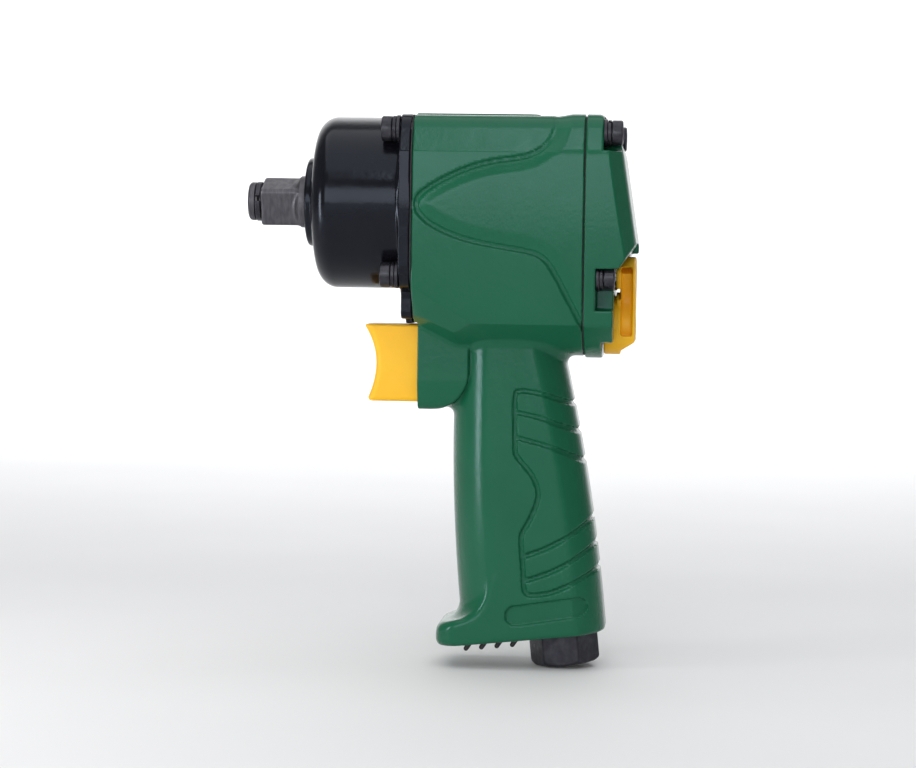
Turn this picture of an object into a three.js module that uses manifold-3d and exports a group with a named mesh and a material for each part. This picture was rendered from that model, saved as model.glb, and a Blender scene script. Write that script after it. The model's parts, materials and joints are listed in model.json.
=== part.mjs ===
// A compact half-inch air impact wrench, modelled as the separate pieces it comes apart into.
// Millimetres. The drive axis is the X axis, with the nose towards -X, and +Z is up.
// The origin is the centre of the square drive's end face.
import * as THREE from 'three';
import { mergeVertices } from 'three/addons/utils/BufferGeometryUtils.js';
import Module from 'manifold-3d';

const wasm = await Module();
wasm.setup();

// ---------- driving dimensions ----------
const CLEARANCE = 0.3;
const ROUND = 24;
const SMALL_ROUND = 12;
const FINE_ROUND = 40;
const EPS = 1;

const DRIVE_SIZE = 12.7;
const DRIVE_CORNER = 1.4;
const DRIVE_TURN = THREE.MathUtils.degToRad(22);
const DRIVE_START = 4.4;
const COLLAR_START = 16.4;
const SHANK_RADIUS = 8.5;

const NOSE_FRONT = 20.0;
const CASE_RADIUS = 28.4;
const CASE_CAVITY_RADIUS = 23.6;
const CASE_CAVITY_FRONT = 28.3;
const FLANGE_FRONT = 53.4;
const FLANGE_REAR = 56.8;
const HOUSING_FRONT = 57.3;
const HOUSING_REAR = 113.0;
const COVER_FRONT = 113.5;
const COVER_REAR = 129.9;

const BODY_HALF_WIDTH = 29;
const BODY_TOP = 29.2;
const BODY_CORNER = 8;
const BODY_BOTTOM = -50.4;
const MOTOR_BORE = 24.0;

const SCREW_OFFSET = 24;
const REAR_UPPER_SCREW_Z = 23;
const SCREW_HOLE = 2.7;
const SCREW_SHANK = 2.4;
const SCREW_HEAD_RADIUS = 4.25;
const SCREW_HEAD_HEIGHT = 3.6;
const SCREW_SOCKET_RADIUS = 2.3;
const SCREW_LENGTH = 19;
const WASHER_THICKNESS = 1.3;
const FLAT_WASHER = 1.2;
const UPPER_SEAT = 119.1;
const LOWER_SEAT = 117.2;

const THROTTLE_Z = -54;
const TRIGGER_TOP = -40.3;
const TRIGGER_BOTTOM = -65.9;
const TRIGGER_HALF_WIDTH = 9.5;
const TRIGGER_REAR = 61.5;
const BOSS_HALF_WIDTH = 15;
const BOSS_FRONT = 58.5;
const BOSS_BOTTOM = -68.4;
const BUSHING_FRONT = 69.3;
const VALVE_SEAT = 84.3;
const CHAMBER_REAR = 100.5;

const REVERSE_Z = -39.5;
const REVERSE_BORE = 6.6;
const FAN_RADIUS = 22.7;
const FAN_HALF_ANGLE = THREE.MathUtils.degToRad(38);
const LEVER_FRONT = 123.4;
const LEVER_REAR = 129.8;
const COVER_LOWER_REAR = 123.0;
const COVER_STEP = 119.1;

const GRIP_HALF_WIDTH = 17.5;
const FOOT_TILT = THREE.MathUtils.degToRad(6.2);
const FOOT_REAR = [121.4, -140.8];
const INLET_X = 107.3;
const HEX_CORNER_RADIUS = 11.6;
const HEX_TURN = THREE.MathUtils.degToRad(-4);
const HEX_HEIGHT = 10.4;
const INLET_BORE = 5.7;
const INLET_SHANK = 9;

const HAMMER_PIN_Z = 16.5;
const STOP_PIN_Z = -16.2;
const HAMMER_FRONT = 33.8;
const HAMMER_REAR = 48.8;
const CAGE_RADIUS = 22.8;

const CYLINDER_FRONT = 65.1;
const CYLINDER_REAR = 103.1;
const LINER_RADIUS = 23.7;
const ROTOR_RADIUS = 17.2;
const JOURNAL_RADIUS = 6;
const VANE_COUNT = 6;
const VANE_THICKNESS = 3;
const BEARING_OUTER = 14;
const BEARING_WIDTH = 6;
const BALL_PITCH = 10.15;
const BALL_COUNT = 7;
const FRONT_BEARING_X = 60.8;
const REAR_BEARING_X = 107.4;

// ---------- materials ----------
const material = (color, metalness, roughness) => (
  new THREE.MeshStandardMaterial({ color, metalness, roughness })
);
const GREEN_PAINT = material('#1d5a3c', 0.1, 0.3);
const BLACK_PAINT = material('#15151c', 0.1, 0.2);
const YELLOW_PLASTIC = material('#eba51e', 0, 0.45);
const BLACK_PLASTIC = material('#17171b', 0, 0.5);
const DARK_STEEL = material('#3d3d40', 0.9, 0.4);
const BLACK_STEEL = material('#1d1d22', 0.8, 0.35);
const BRIGHT_STEEL = material('#b9bcc0', 1, 0.25);
const SPRING_STEEL = material('#8e9196', 1, 0.3);
const ALUMINIUM = material('#b8babb', 0.9, 0.4);
const BRONZE = material('#a97c45', 0.9, 0.4);
const RUBBER = material('#121214', 0, 0.8);
const FIBRE = material('#5c5a54', 0, 0.9);
const FELT = material('#8b8778', 0, 0.95);

// ---------- solid helpers ----------
function volumeOf(geometry) {
  const position = geometry.attributes.position;
  const index = geometry.index;
  const [a, b, c] = [new THREE.Vector3(), new THREE.Vector3(), new THREE.Vector3()];
  let volume = 0;
  for (let i = 0; i < index.count; i += 3) {
    a.fromBufferAttribute(position, index.getX(i));
    b.fromBufferAttribute(position, index.getX(i + 1));
    c.fromBufferAttribute(position, index.getX(i + 2));
    volume += a.dot(b.cross(c)) / 6;
  }
  return volume;
}

function solid(geometry) {
  geometry.deleteAttribute('normal');
  geometry.deleteAttribute('uv');
  const merged = mergeVertices(geometry, 1e-5);
  const triangles = Uint32Array.from(merged.index.array);
  if (volumeOf(merged) < 0) {
    for (let i = 0; i < triangles.length; i += 3) {
      [triangles[i], triangles[i + 1]] = [triangles[i + 1], triangles[i]];
    }
  }
  const vertProperties = Float32Array.from(merged.attributes.position.array);
  return new wasm.Manifold(new wasm.Mesh({ numProp: 3, vertProperties, triVerts: triangles }));
}

const union = (first, ...others) => others.reduce((sum, other) => sum.add(other), first);
const cut = (first, ...others) => others.reduce((rest, other) => rest.subtract(other), first);

function box(low, high) {
  const size = high.map((value, axis) => value - low[axis]);
  const middle = high.map((value, axis) => (value + low[axis]) / 2);
  return solid(new THREE.BoxGeometry(...size).translate(...middle));
}

// A round bar along X.
function rod(radius, from, to, y = 0, z = 0, segments = ROUND) {
  const geometry = new THREE.CylinderGeometry(radius, radius, to - from, segments);
  return solid(geometry.rotateZ(-Math.PI / 2).translate((from + to) / 2, y, z));
}

// A round bar along Z.
function post(radius, x, y, from, to, segments = ROUND) {
  const geometry = new THREE.CylinderGeometry(radius, radius, to - from, segments);
  return solid(geometry.rotateX(Math.PI / 2).translate(x, y, (from + to) / 2));
}

// A body of revolution about X, from [x, radius] points.
function turned(points, segments = ROUND) {
  const profile = points.map(([x, radius]) => new THREE.Vector2(radius, x));
  return solid(new THREE.LatheGeometry(profile, segments).rotateZ(-Math.PI / 2));
}

// A ring about X whose profile closes on itself.
const ring = (points, segments = ROUND) => turned([...points, points[0]], segments);

const tube = (inner, outer, from, to, segments = ROUND) => (
  ring([[from, inner], [to, inner], [to, outer], [from, outer]], segments)
);

// A plate whose outline lies in the Y-Z plane, from one X to another.
function crossPlate(shape, from, to, curveSegments = 5) {
  const geometry = new THREE.ExtrudeGeometry(shape, {
    depth: to - from, bevelEnabled: false, curveSegments,
  });
  const axes = new THREE.Matrix4().makeBasis(
    new THREE.Vector3(0, 1, 0), new THREE.Vector3(0, 0, 1), new THREE.Vector3(1, 0, 0),
  );
  return solid(geometry.applyMatrix4(axes).translate(from, 0, 0));
}

// A plate whose outline lies in the X-Z plane, centred on Y = 0, with rounded long edges.
function sidePlate(shape, halfWidth, rounding, curveSegments = 5) {
  const geometry = new THREE.ExtrudeGeometry(shape, {
    depth: 2 * (halfWidth - rounding),
    bevelEnabled: rounding > 0,
    bevelThickness: rounding,
    bevelSize: rounding,
    bevelOffset: -rounding,
    bevelSegments: 2,
    curveSegments,
  });
  return solid(geometry.rotateX(Math.PI / 2).translate(0, halfWidth - rounding, 0));
}

// Everything on the outer side of a plane, as a large block.
function beyond(point, normal) {
  const reach = 200;
  const turn = new THREE.Quaternion().setFromUnitVectors(
    new THREE.Vector3(0, 0, 1), new THREE.Vector3(...normal).normalize(),
  );
  const geometry = new THREE.BoxGeometry(2 * reach, 2 * reach, reach).translate(0, 0, reach / 2);
  return solid(geometry.applyQuaternion(turn).translate(...point));
}

// The outward normal of the plane through three points.
function normalOf(a, b, c) {
  const [p, q, r] = [a, b, c].map((values) => new THREE.Vector3(...values));
  return q.sub(p).cross(r.sub(p)).normalize().toArray();
}

function outline(points) {
  return new THREE.Shape(points.map(([x, y]) => new THREE.Vector2(x, y)));
}

// A coil spring along X as one closed wire.
function coil(radius, wire, from, to, turns) {
  class Helix extends THREE.Curve {
    getPoint(t, target = new THREE.Vector3()) {
      const angle = 2 * Math.PI * turns * t;
      const x = from + wire + (to - from - 2 * wire) * t;
      return target.set(x, radius * Math.cos(angle), radius * Math.sin(angle));
    }
  }
  const section = outline([[wire, 0], [0, wire], [-wire, 0], [0, -wire]]);
  return solid(new THREE.ExtrudeGeometry(section, {
    extrudePath: new Helix(), steps: turns * 8, bevelEnabled: false,
  }));
}

function geometryOf(manifold) {
  const { vertProperties, triVerts } = manifold.getMesh();
  const geometry = new THREE.BufferGeometry();
  geometry.setAttribute('position', new THREE.BufferAttribute(vertProperties, 3));
  geometry.setIndex(new THREE.BufferAttribute(triVerts, 1));
  geometry.computeVertexNormals();
  return geometry;
}

const wrench = new THREE.Group();

function add(name, manifold, look, parent = wrench) {
  const mesh = new THREE.Mesh(geometryOf(manifold), look);
  mesh.name = name;
  parent.add(mesh);
  return mesh;
}

// ---------- outlines shared by several pieces ----------
const CORNERS = [[-1, 1], [1, 1], [1, -1], [-1, -1]];
const frontCentres = CORNERS.map(([y, z]) => [y * SCREW_OFFSET, z * SCREW_OFFSET]);
const rearCentres = frontCentres.map(([y, z]) => [y, Math.min(z, REAR_UPPER_SCREW_Z)]);

// The full-height section of the motor housing and of the rear cover.
function bodyShape() {
  const side = BODY_HALF_WIDTH;
  const corner = BODY_CORNER;
  const chin = 6;
  const chinHalfWidth = 22;
  const shape = new THREE.Shape();
  shape.absarc(side - corner, BODY_TOP - corner, corner, 0, Math.PI / 2);
  shape.absarc(corner - side, BODY_TOP - corner, corner, Math.PI / 2, Math.PI);
  shape.lineTo(-side, -32);
  shape.absarc(chin - chinHalfWidth, BODY_BOTTOM + chin, chin, Math.PI * 1.1, Math.PI * 1.5);
  shape.absarc(chinHalfWidth - chin, BODY_BOTTOM + chin, chin, Math.PI * 1.5, Math.PI * 1.9);
  shape.lineTo(side, -32);
  return shape;
}

// The hammer case's flange: a rounded square with a narrower tongue below.
function flangeShape() {
  const side = BODY_HALF_WIDTH;
  const corner = BODY_CORNER;
  const shape = new THREE.Shape();
  shape.absarc(side - corner, BODY_TOP - corner, corner, 0, Math.PI / 2);
  shape.absarc(corner - side, BODY_TOP - corner, corner, Math.PI / 2, Math.PI);
  shape.absarc(corner - side, corner - side, corner, Math.PI, Math.PI * 1.5);
  shape.lineTo(-17, -38.5);
  shape.lineTo(17, -38.5);
  shape.absarc(side - corner, corner - side, corner, Math.PI * 1.5, Math.PI * 2);
  return shape;
}

function screwHoles(centres, from, to) {
  return centres.map(([y, z]) => rod(SCREW_HOLE, from, to, y, z, SMALL_ROUND));
}

// ---------- tilted frame of the grip's foot ----------
// Its origin is where the air inlet's axis meets the foot's flat underside.
const footDrop = (FOOT_REAR[0] - INLET_X) * Math.tan(FOOT_TILT);
const inletOrigin = [INLET_X, 0, FOOT_REAR[1] - footDrop];
const foot = new THREE.Group();
foot.position.set(...inletOrigin);
foot.rotation.y = -FOOT_TILT;
wrench.add(foot);
foot.updateMatrix();

// A solid built in the foot's frame, moved into the wrench's frame.
function atFoot(manifold) {
  return manifold.transform(foot.matrix.elements);
}

const MUFFLER_FRONT = -34;
const MUFFLER_REAR = -13.2;
const MUFFLER_HALF_WIDTH = 12;
const MUFFLER_HEIGHT = 6;

// ---------- castings ----------
function motorHousing() {
  const front = [HOUSING_FRONT, BODY_HALF_WIDTH, -24];
  const bend = [79, BODY_HALF_WIDTH, -40];
  const chin = [HOUSING_FRONT, 21, -32];
  const normal = normalOf(front, bend, chin);
  const barrel = cut(
    crossPlate(bodyShape(), HOUSING_FRONT, HOUSING_REAR),
    beyond(front, normal),
    beyond([front[0], -front[1], front[2]], [normal[0], -normal[1], normal[2]]),
  );
  const boss = sidePlate(outline([
    [HOUSING_FRONT, -38], [BOSS_FRONT, BOSS_BOTTOM + 1.5], [BOSS_FRONT + 1.5, BOSS_BOTTOM],
    [72, BOSS_BOTTOM], [75.6, BOSS_BOTTOM + 3], [75.6, -38],
  ]), BOSS_HALF_WIDTH, 1);
  const grip = sidePlate(outline([
    [69.6, -36], [69.6, -73], [72.6, -138], [121.2, -138], [118.3, -114], [114.9, -90],
    [109.8, -66], [107.9, -55], [108.6, -36],
  ]), GRIP_HALF_WIDTH, 7);
  const heel = FOOT_REAR;
  const toe = [66.4, heel[1] - (heel[0] - 66.4) * Math.tan(FOOT_TILT)];
  const footBlock = sidePlate(outline([
    heel, [120.5, -131], [76, -131], [72.6, -134], [70.6, -137.7], [66.6, -139.9], [64.6, -142],
    [64.6, -145], toe,
  ]), GRIP_HALF_WIDTH, 2);
  const boreEnd = 14;
  const body = cut(
    union(barrel, boss, grip, footBlock),
    rod(MOTOR_BORE, HOUSING_FRONT - EPS, HOUSING_REAR + EPS, 0, 0, FINE_ROUND),
    ...screwHoles(frontCentres, HOUSING_FRONT - EPS, HOUSING_FRONT + 16),
    ...screwHoles(rearCentres, HOUSING_REAR - 15, HOUSING_REAR + EPS),
  );
  const triggerPocket = box(
    [HOUSING_FRONT - EPS, -TRIGGER_HALF_WIDTH - 0.4, TRIGGER_BOTTOM - 0.4],
    [BUSHING_FRONT, TRIGGER_HALF_WIDTH + 0.4, TRIGGER_TOP + 0.4],
  );
  const chinStep = box([HOUSING_FRONT - EPS, -30, -75], [BOSS_FRONT, 30, -39.4]);
  const throttleBore = rod(6.7, BUSHING_FRONT - EPS, CHAMBER_REAR, 0, THROTTLE_Z, 24);
  const reverseBore = rod(REVERSE_BORE, 92, HOUSING_REAR + EPS, 0, REVERSE_Z, 24);
  const feedPort = post(3, 96, 0, THROTTLE_Z, REVERSE_Z, SMALL_ROUND);
  const motorPorts = [-4, 4].map((y) => post(1.8, 106.5, y, REVERSE_Z, -20, SMALL_ROUND));
  const exhaustPassage = union(box([75, -10, -105], [86, 10, -18]), box([76.5, -7, -141], [86, 7, -104]));
  const inletPassage = atFoot(post(6.5, 0, 0, -EPS, 89, 24));
  const inletThread = atFoot(post(INLET_SHANK + CLEARANCE, 0, 0, -EPS, boreEnd, 24));
  const mufflerRoom = atFoot(box(
    [MUFFLER_FRONT - CLEARANCE, -MUFFLER_HALF_WIDTH - CLEARANCE, -5],
    [MUFFLER_REAR + CLEARANCE, MUFFLER_HALF_WIDTH + CLEARANCE, MUFFLER_HEIGHT],
  ));
  return cut(
    body, triggerPocket, chinStep, throttleBore, reverseBore, feedPort, ...motorPorts, exhaustPassage,
    inletPassage, inletThread, mufflerRoom,
  );
}

function hammerCase() {
  const shell = ring([
    [NOSE_FRONT, 11.6], [NOSE_FRONT, 13.8], [NOSE_FRONT + 0.9, 14.7], [22.4, 14.7], [22.7, 18],
    [23.3, 22.6], [24.3, 25.5], [26.2, 27.6], [29.0, CASE_RADIUS], [FLANGE_FRONT + EPS, CASE_RADIUS],
    [FLANGE_FRONT + EPS, CASE_CAVITY_RADIUS - 0.2], [CASE_CAVITY_FRONT, CASE_CAVITY_RADIUS - 0.2],
    [CASE_CAVITY_FRONT, 11.6],
  ], 32);
  const flange = crossPlate(flangeShape(), FLANGE_FRONT, FLANGE_REAR);
  return cut(
    union(shell, flange),
    rod(CASE_CAVITY_RADIUS, CASE_CAVITY_FRONT, FLANGE_REAR + EPS, 0, 0, 32),
    ...screwHoles(frontCentres, FLANGE_FRONT - EPS, FLANGE_REAR + EPS),
  );
}

function rearCover() {
  const upper = [124.9, 0, 18.6];
  const lower = [129.8, 0, -12.8];
  const rise = upper[2] - lower[2];
  const rearSlope = [rise, 0, lower[0] - upper[0]];
  const sides = [-1, 1];
  const bevels = sides.map((side) => {
    const points = [[120.8, 29, 16.8], [126.6, 29, -18.5], [125.3, 22, 16.8]];
    const normal = normalOf(...points);
    return beyond([120.8, 29 * side, 16.8], [-normal[0], -normal[1] * side, -normal[2]]);
  });
  const topBevel = beyond([117.9, 0, BODY_TOP], [1, 0, 1.1]);
  const upperPockets = sides.map((side) => box(
    [UPPER_SEAT, side * 24 - 5.2, 17.4], [COVER_REAR + EPS, side * 24 + 5.2, BODY_TOP + EPS],
  ));
  const lowerPockets = sides.flatMap((side) => [
    box([LOWER_SEAT, side * 24 - 5.2, -34.4], [COVER_REAR + EPS, side * 24 + 5.2, -20.8]),
    box([LOWER_SEAT, side * 23.6 - 4.8, -34.4], [COVER_REAR + EPS, side * 23.6 + 4.8, -19.4]),
  ]);
  const body = cut(
    crossPlate(bodyShape(), COVER_FRONT, COVER_REAR),
    beyond(upper, rearSlope), topBevel, ...bevels, ...upperPockets, ...lowerPockets,
    box([COVER_LOWER_REAR, -40, -60], [140, 40, -20.8]),
    box([COVER_STEP, -40, -60], [140, 40, -44.9]),
    rod(FAN_RADIUS + 1, COVER_LOWER_REAR, 140, 0, REVERSE_Z, FINE_ROUND),
    sidePlate(outline([[129.8, -13.2], [124.6, -20.8], [124.6, -24], [140, -24], [140, -13.2]]), 40, 0),
    rod(10.2, COVER_STEP, 140, 0, REVERSE_Z, 24),
    rod(REVERSE_BORE, COVER_FRONT - EPS, 140, 0, REVERSE_Z, 24),
    rod(1.8, 117, 140, 0, REVERSE_Z + 13, 12),
    rod(19, COVER_FRONT - EPS, 118.5),
    ...screwHoles(rearCentres, COVER_FRONT - EPS, 140),
  );
  const stopNub = box([126, -4, -15.8], [130.5, 4, -12.4]);
  return union(body, stopNub, tube(20, LINER_RADIUS, 111.3, COVER_FRONT + 0.6));
}

function frontGasket() {
  return cut(
    crossPlate(flangeShape(), FLANGE_REAR + 0.05, HOUSING_FRONT - 0.05),
    rod(MOTOR_BORE, FLANGE_REAR - EPS, HOUSING_FRONT + EPS),
    ...screwHoles(frontCentres, FLANGE_REAR - EPS, HOUSING_FRONT + EPS),
  );
}

function rearGasket() {
  return cut(
    crossPlate(bodyShape(), HOUSING_REAR + 0.05, COVER_FRONT - 0.05),
    rod(MOTOR_BORE, HOUSING_REAR - EPS, COVER_FRONT + EPS),
    rod(7, HOUSING_REAR - EPS, COVER_FRONT + EPS, 0, REVERSE_Z),
    ...screwHoles(rearCentres, HOUSING_REAR - EPS, COVER_FRONT + EPS),
  );
}

// ---------- anvil ----------
function anvil() {
  const round = turned([
    [0, 0], [0, 5.6], [0.6, 6.25], [2, 6.25], [2, 5.1], [2.9, 5.1], [2.9, 4.3], [3.7, 4.3],
    [3.7, 5.1], [DRIVE_START, 5.1], [COLLAR_START - 1, 5.1], [COLLAR_START, SHANK_RADIUS],
    [28.6, SHANK_RADIUS], [28.6, 10.6], [30.4, 10.6], [30.4, 7.8], [48.6, 7.8], [48.6, 4.5],
    [50.8, 4.5], [50.8, 0],
  ]);
  const half = DRIVE_SIZE / 2;
  const corner = DRIVE_CORNER;
  const square = new THREE.Shape();
  square.absarc(half - corner, half - corner, corner, 0, Math.PI / 2);
  square.absarc(corner - half, half - corner, corner, Math.PI / 2, Math.PI);
  square.absarc(corner - half, corner - half, corner, Math.PI, Math.PI * 1.5);
  square.absarc(half - corner, corner - half, corner, Math.PI * 1.5, Math.PI * 2);
  const drive = crossPlate(square, DRIVE_START, COLLAR_START + 0.5, 3);
  const turnedDrive = drive.rotate([THREE.MathUtils.radToDeg(DRIVE_TURN), 0, 0]);
  const lobe = box([34.4, -2.25, -10], [48.2, 2.25, -6]);
  return union(round, turnedDrive, lobe);
}

function frictionRing() {
  return cut(tube(5.3, 6.6, 2.2, 4.2), box([0, -8, 0], [6, -4, 1.8]));
}

function retainerORing() {
  return solid(new THREE.TorusGeometry(4.75, 0.38, 5, 16).rotateY(Math.PI / 2).translate(3.3, 0, 0));
}

// ---------- hammer mechanism ----------
function hammer() {
  const jawAngle = -50;
  const jaw = box([HAMMER_FRONT, 9.2, -2.25], [HAMMER_REAR, 14, 2.25]).rotate([jawAngle, 0, 0]);
  const body = cut(
    union(
      rod(17.3, HAMMER_FRONT, HAMMER_REAR),
      rod(5.4, HAMMER_FRONT, HAMMER_REAR, 0, HAMMER_PIN_Z, 20),
    ),
    rod(11.2, HAMMER_FRONT - EPS, HAMMER_REAR + EPS),
  );
  return cut(
    union(body, jaw),
    rod(3.3, HAMMER_FRONT - EPS, HAMMER_REAR + EPS, 0, HAMMER_PIN_Z, 20),
    box([HAMMER_FRONT - EPS, -3.8, -20], [HAMMER_REAR + EPS, 3.8, -13.6]),
  );
}

function hammerCage() {
  const frontDisc = tube(9.4, CAGE_RADIUS, 30.8, 33.4);
  const rearDisc = turned([
    [49.2, 0], [49.2, CAGE_RADIUS], [55.6, CAGE_RADIUS], [55.6, 0],
  ]);
  const webs = tube(19.8, CAGE_RADIUS, 33, 49.6).intersect(box([32, -30, -10], [51, 30, 10]));
  const socket = solid(new THREE.CylinderGeometry(5.9, 5.9, 5, 6).rotateZ(-Math.PI / 2)
    .translate(54, 0, 0));
  return cut(
    union(frontDisc, webs, rearDisc),
    rod(4.9, 48, 52, 0, 0, 24),
    socket,
    rod(3.1, 28, 53.4, 0, HAMMER_PIN_Z, 20),
    rod(2.1, 28, 53.4, 0, STOP_PIN_Z, 20),
  );
}

// ---------- motor ----------
function rotor() {
  const spline = solid(new THREE.CylinderGeometry(5.6, 5.6, 6, 6).rotateZ(-Math.PI / 2)
    .translate(54.9, 0, 0));
  const body = turned([
    [57.2, 0], [57.2, JOURNAL_RADIUS], [65.4, JOURNAL_RADIUS], [65.4, ROTOR_RADIUS],
    [102.8, ROTOR_RADIUS], [102.8, JOURNAL_RADIUS], [110.5, JOURNAL_RADIUS], [110.5, 0],
  ], 30);
  const slots = vaneAngles().map((angle) => box(
    [65, -VANE_THICKNESS / 2 - 0.1, 9], [103, VANE_THICKNESS / 2 + 0.1, 20],
  ).rotate([angle, 0, 0]));
  return cut(union(body, spline), ...slots);
}

function vaneAngles() {
  return Array.from({ length: VANE_COUNT }, (_, index) => index * 360 / VANE_COUNT);
}

function vane() {
  return box([65.5, -VANE_THICKNESS / 2, 9.3], [102.7, VANE_THICKNESS / 2, 17.25]);
}

function cylinder() {
  const eccentricity = 1.9;
  const exhaustSlots = [76, 79.5, 83].map((x) => box([x, -8, -30], [x + 2, 8, -15]));
  return cut(
    rod(LINER_RADIUS, CYLINDER_FRONT, CYLINDER_REAR, 0, 0, FINE_ROUND),
    rod(19.6, CYLINDER_FRONT - EPS, CYLINDER_REAR + EPS, 0, -eccentricity, FINE_ROUND),
    ...exhaustSlots,
  );
}

// An end plate: a disc with a bearing seat that opens away from the cylinder.
function endPlate(inner, outer, wall) {
  const seatFloor = inner + Math.sign(outer - inner) * wall;
  return ring([
    [outer, BEARING_OUTER + 0.1], [seatFloor, BEARING_OUTER + 0.1], [seatFloor, 7.6],
    [inner, 7.6], [inner, LINER_RADIUS], [outer, LINER_RADIUS],
  ]);
}

// A race with a groove for the balls; side is 1 for the inner race and -1 for the outer.
function race(centre, bore, land, side) {
  const grooveRadius = 2.5;
  const half = BEARING_WIDTH / 2;
  const groove = Array.from({ length: 4 }, (_, index) => {
    const angle = Math.PI * (0.2 + 0.2 * index);
    return [
      centre - grooveRadius * Math.cos(angle),
      BALL_PITCH - side * grooveRadius * Math.sin(angle),
    ];
  });
  return ring([
    [centre + half, land], [centre + half, bore], [centre - half, bore], [centre - half, land],
    ...groove,
  ]);
}

const innerRace = (centre) => race(centre, JOURNAL_RADIUS + 0.1, 8.7, 1);
const outerRace = (centre) => race(centre, BEARING_OUTER, 11.6, -1);

function bearingBalls(centre) {
  const retainer = tube(9.3, 11, centre - 1, centre + 1, 16);
  const balls = Array.from({ length: BALL_COUNT }, (_, index) => {
    const angle = index * 2 * Math.PI / BALL_COUNT;
    const geometry = new THREE.SphereGeometry(2.2, 6, 4);
    return solid(geometry.translate(
      centre, BALL_PITCH * Math.cos(angle), BALL_PITCH * Math.sin(angle),
    ));
  });
  return union(retainer, ...balls);
}

// ---------- trigger and throttle ----------
function trigger() {
  const shape = new THREE.Shape();
  shape.moveTo(TRIGGER_REAR, TRIGGER_TOP);
  shape.lineTo(41.5, TRIGGER_TOP);
  shape.lineTo(40.5, TRIGGER_TOP - 1.4);
  shape.quadraticCurveTo(46.9, -52.5, 41.7, -63.6);
  shape.lineTo(42.4, -65.2);
  shape.lineTo(44.1, TRIGGER_BOTTOM);
  shape.lineTo(TRIGGER_REAR, TRIGGER_BOTTOM);
  return cut(
    sidePlate(shape, TRIGGER_HALF_WIDTH, 1.2),
    rod(2.6, 59.4, TRIGGER_REAR + EPS, 0, THROTTLE_Z, SMALL_ROUND),
  );
}

function throttleValve() {
  return turned([
    [VALVE_SEAT, 0], [VALVE_SEAT, 4.4], [VALVE_SEAT + 1, 5.2], [VALVE_SEAT + 3.2, 5.2],
    [VALVE_SEAT + 3.2, 2], [VALVE_SEAT + 6.5, 2], [VALVE_SEAT + 6.5, 0],
  ], 24).translate([0, 0, THROTTLE_Z]);
}

// ---------- forward and reverse ----------
function reverseLever() {
  const shape = new THREE.Shape();
  const start = Math.PI / 2 - FAN_HALF_ANGLE;
  const hub = 9.7;
  shape.absarc(0, REVERSE_Z, FAN_RADIUS, start, Math.PI - start);
  shape.absarc(0, REVERSE_Z, hub, Math.PI * 1.08, Math.PI * 1.92);
  const fan = crossPlate(shape, LEVER_FRONT, LEVER_REAR, 8);
  const hubDisc = rod(hub, COVER_STEP + 0.4, LEVER_FRONT + EPS, 0, REVERSE_Z, 24);
  const thumbPockets = [-1, 1].map((side) => post(
    9, 126.6, side * 19.5, REVERSE_Z + 3, REVERSE_Z + 19.5, 24,
  ).intersect(box([124.8, -40, -60], [128.4, 40, 0])));
  const detentTrack = tube(10.9, 15.1, LEVER_FRONT - 0.6, LEVER_FRONT + 1.3)
    .translate([0, 0, REVERSE_Z]);
  return cut(
    union(fan, hubDisc),
    ...thumbPockets,
    detentTrack,
    beyond([129.1, 0, -45.4], [3.4, 0, -5.3]),
    rod(1.8, COVER_STEP - EPS, 140, 0, REVERSE_Z, SMALL_ROUND),
    rod(3.4, 126.6, 140, 0, REVERSE_Z, SMALL_ROUND),
  );
}

function reverseValve() {
  return cut(
    rod(6.2, 94, COVER_STEP + 0.2, 0, REVERSE_Z, 24),
    rod(1.8, 112.6, 130, 0, REVERSE_Z, SMALL_ROUND),
    box([95, -7, REVERSE_Z - 7], [99, 7, REVERSE_Z - 2.5]),
    box([104, -7, REVERSE_Z + 2.5], [109, 7, REVERSE_Z + 7]),
  );
}

function leverScrew() {
  return turned([
    [112.9, 0], [112.9, 1.5], [126.8, 1.5], [126.8, 3], [129.2, 3], [129.2, 0],
  ], SMALL_ROUND).translate([0, 0, REVERSE_Z]);
}

function detentBall() {
  return solid(new THREE.SphereGeometry(1.6, 12, 8).translate(122.6, 0, REVERSE_Z + 13));
}

// ---------- air inlet and exhaust, in the foot's frame ----------
function inletBushing() {
  const hexPrism = new THREE.CylinderGeometry(
    HEX_CORNER_RADIUS, HEX_CORNER_RADIUS, HEX_HEIGHT - CLEARANCE, 6, 1, false, Math.PI / 2 + HEX_TURN,
  ).rotateX(Math.PI / 2).translate(0, 0, -(HEX_HEIGHT + CLEARANCE) / 2);
  const envelope = turned([
    [-CLEARANCE + 0.1, 0], [-CLEARANCE + 0.1, HEX_CORNER_RADIUS + 0.2],
    [-HEX_HEIGHT + 1.2, HEX_CORNER_RADIUS + 0.2], [-HEX_HEIGHT, 10.2], [-HEX_HEIGHT, 0],
  ]).rotate([0, -90, 0]);
  return cut(
    union(solid(hexPrism).intersect(envelope), post(INLET_SHANK, 0, 0, -CLEARANCE - 0.5, 12, 24)),
    post(INLET_BORE, 0, 0, -HEX_HEIGHT - EPS, 13, 24),
  );
}

function inletScreen() {
  return cut(post(5.3, 0, 0, 3, 11, 20), post(4.7, 0, 0, 2, 10.4, 20));
}

const FIN_PITCH = 5.17;
const FIN_DROP = 2.8;

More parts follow.
